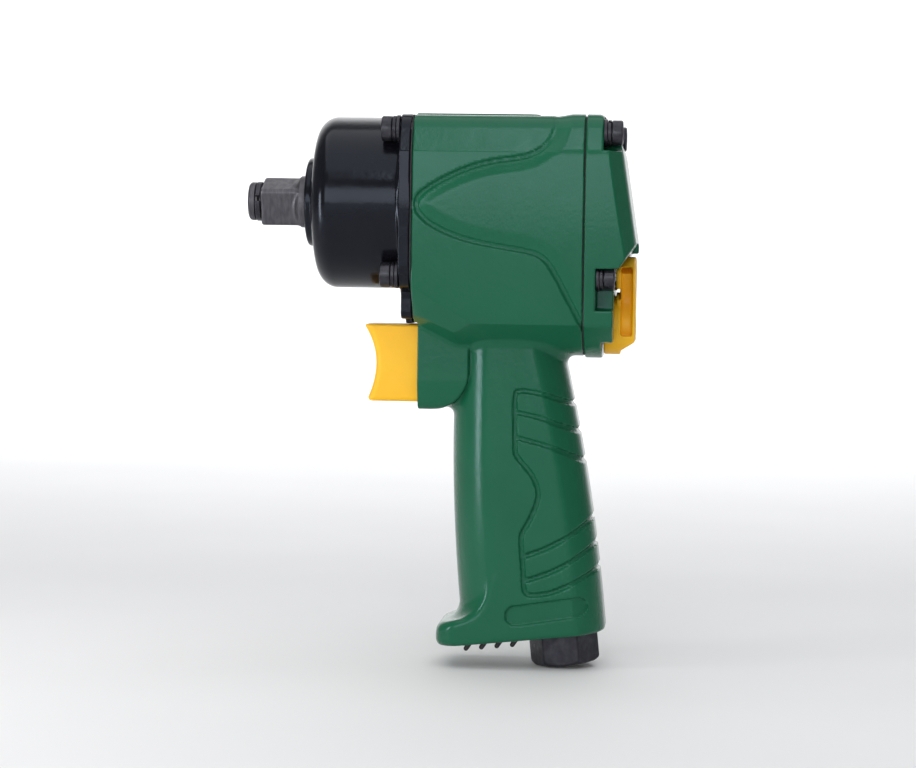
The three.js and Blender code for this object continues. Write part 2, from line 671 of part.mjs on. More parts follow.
function exhaustDeflector() {
  const plate = box(
    [MUFFLER_FRONT, -MUFFLER_HALF_WIDTH, 0], [MUFFLER_REAR, MUFFLER_HALF_WIDTH, 2.4],
  );
  const fins = Array.from({ length: 4 }, (_, index) => {
    const root = MUFFLER_FRONT + 4.1 + index * FIN_PITCH;
    return sidePlate(outline([
      [root, 1], [root - 2.6, -FIN_DROP + 0.4], [root - 1.9, -FIN_DROP], [root + 1.2, 1],
    ]), 10, 0);
  });
  const slots = Array.from({ length: 3 }, (_, index) => {
    const start = MUFFLER_FRONT + 6 + index * FIN_PITCH;
    return box([start, -9, -0.2], [start + 2.2, 9, 4]);
  });
  return cut(union(plate, ...fins), ...slots);
}

function muffler() {
  return box(
    [MUFFLER_FRONT, -MUFFLER_HALF_WIDTH, 2.8], [MUFFLER_REAR, MUFFLER_HALF_WIDTH, MUFFLER_HEIGHT - 0.4],
  );
}

// ---------- fasteners ----------
// The underside of the head is at X = 0 and the shank runs towards +X.
function capScrew() {
  const body = turned([
    [-SCREW_HEAD_HEIGHT, 0], [-SCREW_HEAD_HEIGHT, SCREW_HEAD_RADIUS - 0.5],
    [-SCREW_HEAD_HEIGHT + 0.5, SCREW_HEAD_RADIUS], [0, SCREW_HEAD_RADIUS], [0, SCREW_SHANK],
    [SCREW_LENGTH, SCREW_SHANK], [SCREW_LENGTH, 0],
  ], SMALL_ROUND);
  const socket = new THREE.CylinderGeometry(SCREW_SOCKET_RADIUS, SCREW_SOCKET_RADIUS, 4, 6)
    .rotateZ(-Math.PI / 2).translate(-SCREW_HEAD_HEIGHT, 0, 0);
  return cut(body, solid(socket));
}

// Lies from X = 0 to X = WASHER_THICKNESS.
function lockWasher() {
  return tube(SCREW_HOLE, SCREW_HEAD_RADIUS, 0, WASHER_THICKNESS, SMALL_ROUND);
}

function addFasteners() {
  const spare = 0.05;
  const frontSeat = FLANGE_FRONT - FLAT_WASHER;
  frontCentres.forEach(([y, z], index) => {
    const washer = add(`front_lock_washer_${index + 1}`, lockWasher(), BLACK_STEEL);
    washer.position.set(frontSeat - WASHER_THICKNESS, y, z);
    const screw = add(`front_screw_${index + 1}`, capScrew(), BLACK_STEEL);
    screw.position.set(frontSeat - WASHER_THICKNESS - spare, y, z);
  });
  rearCentres.forEach(([y, z], index) => {
    const rearSeat = (z > 0 ? UPPER_SEAT : LOWER_SEAT) + FLAT_WASHER;
    const washer = add(`rear_lock_washer_${index + 1}`, lockWasher(), BLACK_STEEL);
    washer.position.set(rearSeat, y, z);
    const screw = add(`rear_screw_${index + 1}`, capScrew(), BLACK_STEEL);
    screw.position.set(rearSeat + WASHER_THICKNESS + spare, y, z);
    screw.rotation.z = Math.PI;
  });
}

// ---------- assembly ----------
add('motor_housing', motorHousing(), GREEN_PAINT);
add('rear_cover', rearCover(), GREEN_PAINT);
add('hammer_case', hammerCase(), BLACK_PAINT);
add('front_gasket', frontGasket(), FIBRE);
add('rear_gasket', rearGasket(), FIBRE);
addFasteners();

add('anvil', anvil(), DARK_STEEL);
add('friction_ring', frictionRing(), BLACK_STEEL);
add('retainer_o_ring', retainerORing(), RUBBER);
add('anvil_bushing', tube(SHANK_RADIUS + 0.2, 11.5, NOSE_FRONT + 0.6, CASE_CAVITY_FRONT), BRONZE);

add('hammer', hammer(), DARK_STEEL);
add('hammer_cage', hammerCage(), BRIGHT_STEEL);
add('hammer_pin', rod(3, 30.9, 53.3, 0, HAMMER_PIN_Z, 20), BRIGHT_STEEL);
add('stop_pin', rod(2, 30.9, 53.3, 0, STOP_PIN_Z, 20), BRIGHT_STEEL);

add('rotor', rotor(), BRIGHT_STEEL);
vaneAngles().forEach((angle, index) => {
  const blade = add(`vane_${index + 1}`, vane(), FIBRE);
  blade.rotation.x = THREE.MathUtils.degToRad(angle);
});
add('cylinder', cylinder(), BRIGHT_STEEL);
add('front_end_plate', endPlate(64.9, 57.5, 0.9), ALUMINIUM);
add('rear_end_plate', endPlate(103.3, 110.9, 0.9), ALUMINIUM);
[['front', FRONT_BEARING_X], ['rear', REAR_BEARING_X]].forEach(([place, centre]) => {
  add(`${place}_bearing_inner_race`, innerRace(centre), BRIGHT_STEEL);
  add(`${place}_bearing_outer_race`, outerRace(centre), BRIGHT_STEEL);
  add(`${place}_bearing_balls`, bearingBalls(centre), BRIGHT_STEEL);
});

const pinStroke = VALVE_SEAT - CLEARANCE;
const bushingTube = tube(2.8, 6.4, BUSHING_FRONT + 0.1, pinStroke, 24);
const springRear = CHAMBER_REAR - CLEARANCE;
const springFront = VALVE_SEAT + 3.5;
const throttleCoil = coil(3.8, 0.5, springFront, springRear, 6).translate([0, 0, THROTTLE_Z]);
add('trigger', trigger(), YELLOW_PLASTIC);
add('trigger_pin', rod(2.4, 59.7, pinStroke, 0, THROTTLE_Z, SMALL_ROUND), BRIGHT_STEEL);
add('throttle_bushing', bushingTube.translate([0, 0, THROTTLE_Z]), BRONZE);
add('throttle_valve', throttleValve(), BRIGHT_STEEL);
add('throttle_spring', throttleCoil, SPRING_STEEL);

const detentCoil = coil(1.1, 0.25, 117.2, 120.8, 4).translate([0, 0, REVERSE_Z + 13]);
add('reverse_lever', reverseLever(), YELLOW_PLASTIC);
add('reverse_valve', reverseValve(), BRIGHT_STEEL);
add('lever_screw', leverScrew(), BLACK_STEEL);
add('detent_ball', detentBall(), BRIGHT_STEEL);
add('detent_spring', detentCoil, SPRING_STEEL);

add('inlet_bushing', inletBushing(), BLACK_STEEL, foot);
add('inlet_screen', inletScreen(), BRIGHT_STEEL, foot);
add('exhaust_deflector', exhaustDeflector(), BLACK_PLASTIC, foot);
add('muffler', muffler(), FELT, foot);

export default wrench;
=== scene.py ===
"""Looks of a compact half-inch air impact wrench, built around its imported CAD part.

The castings and moulded pieces are distance fields in millimetres, turned into smooth meshes.
The drive axis is X with the nose towards -X, +Z is up, and the tool is the same on both sides of Y = 0.
"""

import json
import math

import bmesh
import bpy
import numpy as np
from mathutils import Matrix, Vector


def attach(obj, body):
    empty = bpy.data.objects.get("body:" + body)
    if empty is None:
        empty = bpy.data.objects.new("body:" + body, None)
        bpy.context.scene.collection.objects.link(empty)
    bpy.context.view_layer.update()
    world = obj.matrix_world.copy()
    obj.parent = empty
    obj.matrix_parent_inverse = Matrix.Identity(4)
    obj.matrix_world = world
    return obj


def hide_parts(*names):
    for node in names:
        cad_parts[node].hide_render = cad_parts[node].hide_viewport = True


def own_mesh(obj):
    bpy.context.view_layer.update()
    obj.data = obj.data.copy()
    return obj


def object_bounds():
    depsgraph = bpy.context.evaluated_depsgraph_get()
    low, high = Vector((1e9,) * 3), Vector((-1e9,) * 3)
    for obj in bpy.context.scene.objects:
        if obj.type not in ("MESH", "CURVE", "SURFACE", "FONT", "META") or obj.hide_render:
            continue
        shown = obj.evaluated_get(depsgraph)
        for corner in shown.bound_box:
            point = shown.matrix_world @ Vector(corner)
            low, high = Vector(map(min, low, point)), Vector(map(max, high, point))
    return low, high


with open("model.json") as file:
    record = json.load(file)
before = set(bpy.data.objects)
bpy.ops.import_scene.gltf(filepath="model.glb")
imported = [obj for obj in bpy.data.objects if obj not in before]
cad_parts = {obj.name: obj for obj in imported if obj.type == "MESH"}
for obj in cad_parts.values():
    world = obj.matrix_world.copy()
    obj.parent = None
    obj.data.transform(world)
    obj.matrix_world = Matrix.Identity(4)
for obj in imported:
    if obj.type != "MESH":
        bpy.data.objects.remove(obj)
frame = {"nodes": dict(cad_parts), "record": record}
cad_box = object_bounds()

MM = 0.001

# ---------- driving dimensions, in millimetres ----------
HOUSING_FRONT = 57.3
HOUSING_REAR = 113.0
COVER_FRONT = 113.5
BODY_HALF_WIDTH = 29.0
BODY_TOP = 29.2
BODY_BOTTOM = -50.4
MOTOR_BORE = 24.0

DRIVE_HALF_SIZE = 6.35
NOSE_FRONT = 20.0
CASE_RADIUS = 28.45
FLANGE_FRONT = 53.0
FLANGE_REAR = 56.8

SCREW_Y = 22.9
SCREW_Z = 23.7
REAR_UPPER_SCREW_Z = 23.0
SCREW_HOLE = 2.4
SCREW_HEAD_RADIUS = 4.15
SCREW_HEAD_HEIGHT = 3.6
SCREW_SHANK = 2.4
SCREW_LENGTH = 19
SCREW_SOCKET = 2.3
LOCK_WASHER = 1.3
FLAT_WASHER = 1.2
UPPER_SEAT = 119.1
LOWER_SEAT = 117.2

THROTTLE_Z = -54.0
BOSS_FRONT = 58.5
BOSS_BOTTOM = -68.4
BOSS_HALF_WIDTH = 15
CHIN_STEP = -39.4
TRIGGER_TOP = -40.3
TRIGGER_BOTTOM = -65.9
TRIGGER_HALF_WIDTH = 9.5
TRIGGER_REAR = 61.5
POCKET_REAR = 68.3
REVERSE_Z = -39.5
LEVER_FRONT = 123.4
LEVER_REAR = 129.8
FAN_RADIUS = 22.7
FAN_HALF_ANGLE = math.radians(38)

GRIP_HALF_WIDTH = 17.5
HEEL = (121.4, -140.8)
FOOT_TILT = math.radians(6.2)
INLET_X = 107.3
HEX_HALF_FLAT = 10.05
HEX_TURN = math.radians(-4)
FIN_PITCH = 5.17
DRIVE_TURN = math.radians(22)


# ---------- distance fields ----------
def join(a, b, radius):
    """Both solids as one, with a fillet where they cross."""
    u = np.maximum(radius - a, 0)
    v = np.maximum(radius - b, 0)
    return np.maximum(np.minimum(a, b), radius) - np.sqrt(u * u + v * v)


def meet(a, b, radius):
    """What two solids share, with a rounded edge where their surfaces cross."""
    u = np.maximum(radius + a, 0)
    v = np.maximum(radius + b, 0)
    return np.minimum(np.maximum(a, b), -radius) + np.sqrt(u * u + v * v)


def carve(a, b, radius):
    """The first solid without the second, with a rounded rim."""
    return meet(a, -b, radius)


def slab(value, low, high):
    """Distance outside a range of values, negative within it."""
    return np.maximum(low - value, value - high)


def beyond(u, v, point, normal):
    """Distance past a line in a plane, towards its normal."""
    length = math.hypot(*normal)
    return ((u - point[0]) * normal[0] + (v - point[1]) * normal[1]) / length


def to_segment(u, v, a, b):
    """Squared distance to the line between two points."""
    run, rise = b[0] - a[0], b[1] - a[1]
    share = np.clip(((u - a[0]) * run + (v - a[1]) * rise) / (run * run + rise * rise), 0, 1)
    return (u - a[0] - run * share) ** 2 + (v - a[1] - rise * share) ** 2


def along(u, v, points):
    """Distance to an open path."""
    nearest = to_segment(u, v, points[0], points[1])
    for a, b in zip(points[1:], points[2:]):
        nearest = np.minimum(nearest, to_segment(u, v, a, b))
    return np.sqrt(nearest)


def outline(u, v, points):
    """Signed distance to a closed outline, negative inside."""
    nearest = None
    inside = False
    for (ax, ay), (bx, by) in zip(points, [*points[1:], points[0]]):
        gap = to_segment(u, v, (ax, ay), (bx, by))
        nearest = gap if nearest is None else np.minimum(nearest, gap)
        if ay != by:
            crosses = ((v >= ay) != (v >= by)) & (u < ax + (v - ay) * (bx - ax) / (by - ay))
            inside = inside ^ crosses
    return np.where(inside, -1, 1) * np.sqrt(nearest)


def curved(points, steps=4):
    """A smooth path through the points."""
    p = np.array(points, float)
    ends = np.vstack([2 * p[0] - p[1], p, 2 * p[-1] - p[-2]])
    t = np.linspace(0, 1, steps, endpoint=False)[:, None]
    parts = [
        0.5 * (2 * b + (c - a) * t + (2 * a - 5 * b + 4 * c - d) * t**2 + (3 * b - a - 3 * c + d) * t**3)
        for a, b, c, d in zip(ends, ends[1:], ends[2:], ends[3:])
    ]
    return [tuple(point) for point in np.vstack([*parts, p[-1:]])]


def ramp(value, start, end):
    """0 before start and 1 after end, with a smooth rise between them."""
    t = np.clip((value - start) / (end - start), 0, 1)
    return t * t * (3 - 2 * t)


# ---------- meshes from distance fields ----------
def net(values, low, step):
    """Points and quads of the zero surface of a grid of distances, one point per crossed cell."""
    inside = values < 0
    cells = np.array(values.shape) - 1
    owners, crossings, flips = [], [], []
    for axis in range(3):
        u, v = (axis + 1) % 3, (axis + 2) % 3
        unit = np.eye(3, dtype=int)[axis]
        near = [slice(None)] * 3
        far = [slice(None)] * 3
        near[axis] = slice(0, -1)
        far[axis] = slice(1, None)
        edge = np.argwhere(inside[tuple(near)] != inside[tuple(far)])
        first = values[tuple(edge.T)]
        second = values[tuple((edge + unit).T)]
        crossing = edge + unit * (first / (first - second))[:, None]
        ring = []
        for du, dv in ((0, 0), (-1, 0), (-1, -1), (0, -1)):
            cell = edge.copy()
            cell[:, u] += du
            cell[:, v] += dv
            ring.append(np.ravel_multi_index(cell.T, cells))
        owners.append(np.stack(ring, 1))
        crossings.append(crossing)
        flips.append(first >= 0)
    quads = np.vstack(owners)
    crossings = np.repeat(np.vstack(crossings), 4, axis=0)
    _, quads = np.unique(quads.ravel(), return_inverse=True)
    quads = quads.ravel()
    count = np.bincount(quads)
    points = np.stack([np.bincount(quads, crossings[:, k]) / count for k in range(3)], 1)
    quads = quads.reshape(-1, 4)
    turned = np.concatenate(flips)
    quads[turned] = quads[turned][:, ::-1]
    return low + points * step, quads


def sample(field, points, reach=0.04):
    """Value and slope of a field at the points."""
    value = 0
    slope = np.zeros_like(points)
    for sign in ((1, -1, -1), (-1, -1, 1), (-1, 1, -1), (1, 1, 1)):
        corner = points + np.array(sign) * reach
        here = field(corner[:, 0], corner[:, 1], corner[:, 2])
        value = value + here / 4
        slope += here[:, None] * np.array(sign) / (4 * reach)
    return value, slope


def grid_mesh(field, low, high, step, mirrored):
    """Points, quads and normals of a field's surface inside a box."""
    low, high = np.array(low, float), np.array(high, float)
    axes = [np.arange(a - 1.37 * step, b + 2 * step, step) for a, b in zip(low, high)]
    if mirrored:
        axes[1] = np.arange(0.5 * step, high[1] + 2 * step, step)
    x, y, z = (axis.astype(np.float32) for axis in axes)
    values = field(x[:, None, None], y[None, :, None], z[None, None, :])
    values = np.broadcast_to(values, (len(x), len(y), len(z)))
    start = [axis[0] for axis in axes]
    if mirrored:
        values = np.concatenate([values[:, ::-1], values], axis=1)
        start[1] = -axes[1][-1]
    points, quads = net(values, np.array(start), step)
    for _ in range(3):
        value, slope = sample(field, points)
        steep = np.maximum((slope * slope).sum(1), 0.3)
        points -= slope * np.clip(value / steep, -0.5 * step, 0.5 * step)[:, None]
    slope = sample(field, points)[1]
    return points, quads, slope / np.maximum(np.linalg.norm(slope, axis=1), 1e-6)[:, None]


def mesh_object(name, points, faces, normals=None):
    mesh = bpy.data.meshes.new(name)
    mesh.vertices.add(len(points))
    mesh.vertices.foreach_set("co", np.asarray(points, np.float32).ravel() * MM)
    mesh.loops.add(faces.size)
    mesh.loops.foreach_set("vertex_index", faces.ravel().astype(np.int32))
    mesh.polygons.add(len(faces))
    mesh.polygons.foreach_set("loop_start", np.arange(len(faces), dtype=np.int32) * faces.shape[1])
    mesh.update(calc_edges=True)
    mesh.polygons.foreach_set("use_smooth", np.ones(len(faces), bool))
    if normals is not None:
        mesh.normals_split_custom_set_from_vertices(normals)
    obj = bpy.data.objects.new(name, mesh)
    bpy.context.scene.collection.objects.link(obj)
    return obj


def solid(name, field, low, high, step, mirrored=True, place=None, own_normals=True):
    points, quads, normals = grid_mesh(field, low, high, step, mirrored)
    if place is not None:
        points = points @ np.array(place.to_3x3()).T + np.array(place.translation)
        normals = normals @ np.array(place.to_3x3()).T
    return mesh_object(name, points, quads, normals if own_normals else None)


# ---------- meshes from rings of points ----------
def loft(name, rings, closed=False, smooth_angle=32):
    """A skin over rings that all have the same number of points. Open ends get caps."""
    rings = np.array(rings, float)
    count = rings.shape[1]
    bm = bmesh.new()
    verts = [[bm.verts.new(point * MM) for point in ring] for ring in rings]
    pairs = list(zip(verts, verts[1:]))
    if closed:
        pairs.append((verts[-1], verts[0]))
    for a, b in pairs:
        for i in range(count):
            j = (i + 1) % count
            bm.faces.new((a[i], a[j], b[j], b[i]))
    if not closed:
        bm.faces.new(verts[0][::-1])
        bm.faces.new(verts[-1])
    bmesh.ops.recalc_face_normals(bm, faces=bm.faces)
    mesh = bpy.data.meshes.new(name)
    bm.to_mesh(mesh)
    bm.free()
    obj = bpy.data.objects.new(name, mesh)
    bpy.context.scene.collection.objects.link(obj)
    shade(obj, smooth_angle)
    return obj


def shade(obj, angle=32):
    obj.data.polygons.foreach_set("use_smooth", np.ones(len(obj.data.polygons), bool))
    obj.data.set_sharp_from_angle(angle=math.radians(angle))
    obj.data.update()


def circle(x, radius, count=48):
    """A ring of points about the X axis."""
    angle = np.arange(count) * 2 * math.pi / count
    return np.stack([np.full(count, x), radius * np.cos(angle), radius * np.sin(angle)], 1)


def knurled(x, radius, depth=0.09, count=48):
    ring = circle(x, 1, count)
    ring[:, 1:] *= (radius - depth * (np.arange(count) % 2))[:, None]
    return ring


def hexagon(x, flat, count=48):
    """A hexagonal ring about X, as far from the axis as flat at the middle of each side."""
    ring = circle(x, 1, count)
    angle = np.arange(count) * 2 * math.pi / count
    off = (angle + math.pi / 6) % (math.pi / 3) - math.pi / 6
    ring[:, 1:] *= (flat / np.cos(off))[:, None]
    return ring


def cut_out(obj, cutters):
    """Cuts each cutter from the object's mesh and removes the cutter."""
    for cutter in cutters:
        modifier = obj.modifiers.new("cut", "BOOLEAN")
        modifier.operation = "DIFFERENCE"
        modifier.solver = "MANIFOLD"
        modifier.object = cutter
    graph = bpy.context.evaluated_depsgraph_get()
    mesh = bpy.data.meshes.new_from_object(obj.evaluated_get(graph), depsgraph=graph)
    if len(mesh.polygons) == len(obj.data.polygons):
        raise RuntimeError(obj.name + " was left uncut")
    obj.modifiers.clear()
    obj.data = mesh
    for cutter in cutters:
        bpy.data.objects.remove(cutter)


def shade_from_field(obj, field, angle=38):
    """Shades a cut mesh by its field's slope wherever its skin is still the field's."""
    shade(obj, angle)
    mesh = obj.data
    points = np.empty(len(mesh.vertices) * 3, np.float32)
    mesh.vertices.foreach_get("co", points)
    value, slope = sample(field, points.reshape(-1, 3).astype(float) / MM)
    slope /= np.maximum(np.linalg.norm(slope, axis=1), 1e-6)[:, None]
    corners = np.empty(len(mesh.loops), np.int32)
    mesh.loops.foreach_get("vertex_index", corners)
    normals = np.empty(len(mesh.loops) * 3, np.float32)
    mesh.corner_normals.foreach_get("vector", normals)
    normals = normals.reshape(-1, 3)
    skin = (np.abs(value[corners]) < 0.06) & ((normals * slope[corners]).sum(1) > 0.75)
    normals[skin] = slope[corners][skin]
    mesh.normals_split_custom_set(normals)


def bar(radius, start, end, y=0.0, z=0.0, count=48):
    rings = [circle(start, radius, count), circle(end, radius, count)]
    return loft("cutter", np.array(rings) + [0, y, z])


def post(radius, start, end, x=0.0, y=0.0, place=None, count=32):
    """A round bar along Z, in the frame given by place."""
    ring = circle(0, radius, count)[:, [1, 2, 0]]
    rings = np.array([ring + [x, y, start], ring + [x, y, end]])
    if place is not None:
        rings = rings @ np.array(place.to_3x3()).T + np.array(place.translation)
    return loft("cutter", rings)


def block(low, high, place=None):
    (x0, y0, z0), (x1, y1, z1) = low, high
    ring = np.array([(x0, y0, 0), (x1, y0, 0), (x1, y1, 0), (x0, y1, 0)], float)
    rings = np.array([ring + [0, 0, z0], ring + [0, 0, z1]])
    if place is not None:
        rings = rings @ np.array(place.to_3x3()).T + np.array(place.translation)
    return loft("cutter", rings)


# ---------- materials ----------
class Look:
    """A Principled material whose colour, roughness and bump vary by noise in the object's space."""

    def __init__(self, name, colour, roughness, metallic=0.0, coat=0.0, specular=0.5, tint=(1, 1, 1)):
        self.name = name
        self.material = bpy.data.materials.new(name)
        self.material.use_nodes = True
        self.nodes = self.material.node_tree.nodes
        self.links = self.material.node_tree.links
        self.shader = self.nodes["Principled BSDF"]
        self.shader.inputs["Metallic"].default_value = metallic
        self.shader.inputs["Coat Weight"].default_value = coat
        self.shader.inputs["Coat Roughness"].default_value = 0.1
        self.shader.inputs["Specular IOR Level"].default_value = specular
        self.shader.inputs["Specular Tint"].default_value = (*tint, 1)
        self.shader.inputs["Base Color"].default_value = (*colour, 1)
        self.shader.inputs["Roughness"].default_value = roughness
        self.colour = colour
        self.roughness = roughness
        self.height = None
        self.place = self.nodes.new("ShaderNodeTexCoord").outputs["Object"]

    def noise(self, scale, detail=3.0, stretch=(1, 1, 1)):
        place = self.place
        if stretch != (1, 1, 1):
            mapping = self.nodes.new("ShaderNodeMapping")
            mapping.inputs["Scale"].default_value = stretch
            self.links.new(place, mapping.inputs["Vector"])
            place = mapping.outputs["Vector"]
        noise = self.nodes.new("ShaderNodeTexNoise")
        noise.inputs["Scale"].default_value = scale
        noise.inputs["Detail"].default_value = detail
        self.links.new(place, noise.inputs["Vector"])
        return noise.outputs["Fac"]

    def tone(self, other, scale, low=0.35, high=0.65, detail=3.0, stretch=(1, 1, 1)):
        """Drifts the base colour towards another one."""
        blend = self.nodes.new("ShaderNodeValToRGB")
        blend.color_ramp.elements[0].position = low
        blend.color_ramp.elements[0].color = (*self.colour, 1)
        blend.color_ramp.elements[1].position = high
        blend.color_ramp.elements[1].color = (*other, 1)
        self.links.new(self.noise(scale, detail, stretch), blend.inputs["Fac"])
        self.links.new(blend.outputs["Color"], self.shader.inputs["Base Color"])
        return self

    def gloss(self, spread, scale, detail=4.0, stretch=(1, 1, 1)):
        """Spreads the roughness around its middle value."""
        span = self.nodes.new("ShaderNodeMapRange")
        span.inputs["From Min"].default_value = 0.3
        span.inputs["From Max"].default_value = 0.7
        span.inputs["To Min"].default_value = self.roughness - spread
        span.inputs["To Max"].default_value = self.roughness + spread
        self.links.new(self.noise(scale, detail, stretch), span.inputs["Value"])
        self.links.new(span.outputs["Result"], self.shader.inputs["Roughness"])
        return self

    def bump(self, scale, depth, detail=2.0, stretch=(1, 1, 1)):
        """Adds fine relief of a depth in metres."""
        bump = self.nodes.new("ShaderNodeBump")
        bump.inputs["Distance"].default_value = depth
        self.links.new(self.noise(scale, detail, stretch), bump.inputs["Height"])
        if self.height is not None:
            self.links.new(self.height, bump.inputs["Normal"])
        self.height = bump.outputs["Normal"]
        self.links.new(self.height, self.shader.inputs["Normal"])
        return self


def make_looks():
    """One material for each slot of the record, and a few for single pieces."""
    cool = (0.7, 0.85, 1.0)
    green = Look("green_casting", (0.009, 0.1, 0.048), 0.2, specular=0.26, tint=cool)
    green.tone((0.011, 0.11, 0.054), 26).gloss(0.03, 190).bump(620, 0.00004)
    black = Look("black_case", (0.004, 0.004, 0.0062), 0.17, specular=0.24, tint=(0.72, 0.82, 1.0))
    black.tone((0.0055, 0.0055, 0.008), 40).gloss(0.03, 150).bump(520, 0.00003)
    drive = Look("drive_steel", (0.075, 0.073, 0.085), 0.46, metallic=0.9)
    drive.tone((0.11, 0.108, 0.12), 240, stretch=(4, 1, 1)).gloss(0.09, 420).bump(1500, 0.00005)
    oxide = Look("black_steel", (0.028, 0.028, 0.036), 0.34, metallic=0.75)
    oxide.tone((0.05, 0.05, 0.06), 300).gloss(0.08, 500).bump(1200, 0.00004)
    fibre = Look("gasket_fibre", (0.016, 0.016, 0.018), 0.85)
    fibre.tone((0.03, 0.03, 0.032), 900).bump(1800, 0.00008)
    rubber = Look("rubber_seal", (0.01, 0.01, 0.011), 0.62)
    rubber.tone((0.016, 0.016, 0.018), 500).bump(1200, 0.00003)
    bronze = Look("bronze", (0.38, 0.22, 0.085), 0.36, metallic=1.0)
    bronze.tone((0.45, 0.28, 0.12), 500).gloss(0.08, 700, stretch=(0.2, 1, 1)).bump(2200, 0.00004)
    steel = Look("machined_steel", (0.5, 0.5, 0.51), 0.3, metallic=1.0)
    steel.tone((0.58, 0.58, 0.6), 160).gloss(0.08, 300, stretch=(6, 1, 1))
    steel.bump(1800, 0.00002, stretch=(6, 1, 1))
    plate = Look("end_plate_aluminium", (0.6, 0.6, 0.61), 0.4, metallic=1.0)
    plate.tone((0.68, 0.68, 0.7), 220).gloss(0.08, 500).bump(1600, 0.00003)
    vane = Look("vane_composite", (0.14, 0.062, 0.026), 0.6)
    vane.tone((0.2, 0.1, 0.045), 700, stretch=(0.25, 1, 1)).bump(1500, 0.00004, stretch=(0.25, 1, 1))
    yellow = Look("yellow_plastic", (0.93, 0.48, 0.012), 0.4, specular=0.3)
    yellow.tone((0.97, 0.53, 0.02), 60).gloss(0.05, 300).bump(1400, 0.00005)
    yellow.shader.inputs["Subsurface Weight"].default_value = 0.08
    yellow.shader.inputs["Subsurface Radius"].default_value = (0.002, 0.001, 0.0004)
    plastic = Look("black_plastic", (0.012, 0.012, 0.014), 0.42)
    plastic.tone((0.018, 0.018, 0.02), 200).gloss(0.07, 500).bump(1700, 0.00005)
    felt = Look("muffler_felt", (0.23, 0.215, 0.17), 0.95)
    felt.tone((0.34, 0.32, 0.27), 1400, detail=6).bump(2400, 0.0002, detail=6)
    looks = (
        green, black, drive, oxide, fibre, rubber, bronze, steel, plate, vane, yellow, plastic, felt,
    )
    return {look.name: look.material for look in looks}


LOOKS = make_looks()


def finish_piece(obj, body, slot, *nodes):
    """Gives a piece its material and its body, and hides the CAD nodes that it stands for."""
    obj.data.materials.clear()
    obj.data.materials.append(LOOKS[slot])
    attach(obj, body)
    if nodes:
        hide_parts(*nodes)
    return obj


# ---------- frame of the grip's foot ----------
inlet_z = HEEL[1] - (HEEL[0] - INLET_X) * math.tan(FOOT_TILT)
AT_FOOT = Matrix.Translation((INLET_X, 0, inlet_z)) @ Matrix.Rotation(-FOOT_TILT, 4, "Y")


# ---------- the motor section's shape ----------
def flank(y, z):
    """The crowned side of the tool and the bevel above it."""
    side = np.abs(y) - BODY_HALF_WIDTH + 0.0012 * (z - 2) ** 2
    return meet(side, beyond(np.abs(y), z, (28.75, 16.4), (0.955, 0.296)), 0.4)


def section(y, z):
    """The motor section across the tool, with its V-shaped chin."""
    rounded = meet(z - BODY_TOP, flank(y, z), 5)
    chin = beyond(np.abs(y), z, (26.8, -39.6), (0.562, -0.827))
    return meet(meet(rounded, chin, 0.6), BODY_BOTTOM - z, 4)


# The groove on the side, from the top edge round its tip and down to the rear seam.
CONTOUR = curved([
    (104.0, 36), (104.0, 28.5), (103.2, 22.9), (100.4, 18.4), (94.3, 15.1), (84.0, 13.4),
    (75.9, 11.2), (67.6, 7.4), (60.9, 3.1), (58.9, -0.1), (59.7, -3.3), (63.8, -7.1),
    (72.1, -10.9), (80.2, -13.0), (92.8, -15.1), (97.6, -16.2), (101.3, -18.6), (104.3, -23.0),
    (108.0, -29.8), (112.9, -38.9), (119, -50),
])
RAISED = [*CONTOUR, (140, -50), (140, 36)]


def side_relief(x, y, z):
    """How far the motor section's skin lies below its full size: less over the screw at the corner."""
    inward = -outline(x, z, RAISED)
    groove = 1 - ramp(np.abs(inward), 0.4, 1.2)
    depth = 0.75 - 0.6 * ramp(np.abs(y), 14, 18) * ramp(z, 16, 21)
    return 0.65 * (1 - ramp(inward, 0.8, 5.2)) + depth * groove


def top_pad(x, y):
    """1 on the thin raised pad on top, and 0 away from it."""
    off = meet(slab(x, 40, 98), np.abs(y) - 15, 4)
    return 1 - ramp(off, -0.4, 0.4)


def plane(x, y, z, a, b, c):
    """Distance past the plane through three points, away from the middle plane."""
    normal = np.cross(np.subtract(b, a), np.subtract(c, a))
    normal = normal / np.linalg.norm(normal) * np.sign(normal[1])
    return (x - a[0]) * normal[0] + (y - a[1]) * normal[1] + (z - a[2]) * normal[2]


# The facets at the lower front corners fan out from the front end of the chin's crease.
FACETS = [
    ((57.3, 27.9, -27.6), (57.3, 25.7, -30.6), (79.0, 26.9, -40.2)),
    ((57.3, 25.7, -30.6), (57.3, 20.0, -37.3), (72.5, 25.6, -41.4)),
    ((57.3, 20.0, -37.3), (57.3, 15.8, -39.9), (73.5, 24.8, -42.2)),
]


def barrel(x, y, z):
    skin = section(y, z) + side_relief(x, y, z) - 0.75 * top_pad(x, y) * ramp(z, 20, 26)
    for facet in FACETS:
        skin = meet(skin, plane(x, np.abs(y), z, *facet) + 0.5, 0.15)
    return skin


# ---------- grip ----------
def grip_front(z):
    return 69.6 + 0.00083 * np.maximum(-73 - z, 0) ** 2


def grip_rear(z):
    drop = -55 - z
    return 107.9 + 0.2275 * drop - 0.000785 * drop**2


def corner_distance(reach, width, radius):
    """Distance to a rounded corner from how far a point lies past its centre each way."""
    across = np.sqrt(np.maximum(reach, 0) ** 2 + np.maximum(width, 0) ** 2)
    return across + np.minimum(np.maximum(reach, width), 0) - radius


FOOT_TOP = curved([
    (64.6, -142.6), (65.3, -140.5), (67.2, -139.0), (70.5, -138.0), (76.5, -136.2), (81.2, -133.6),
    (84.6, -130.0), (86.4, -125.4),
])
FOOT_PROFILE = [*FOOT_TOP, (140, -125.4), (140, -170), (64.6, -170)]


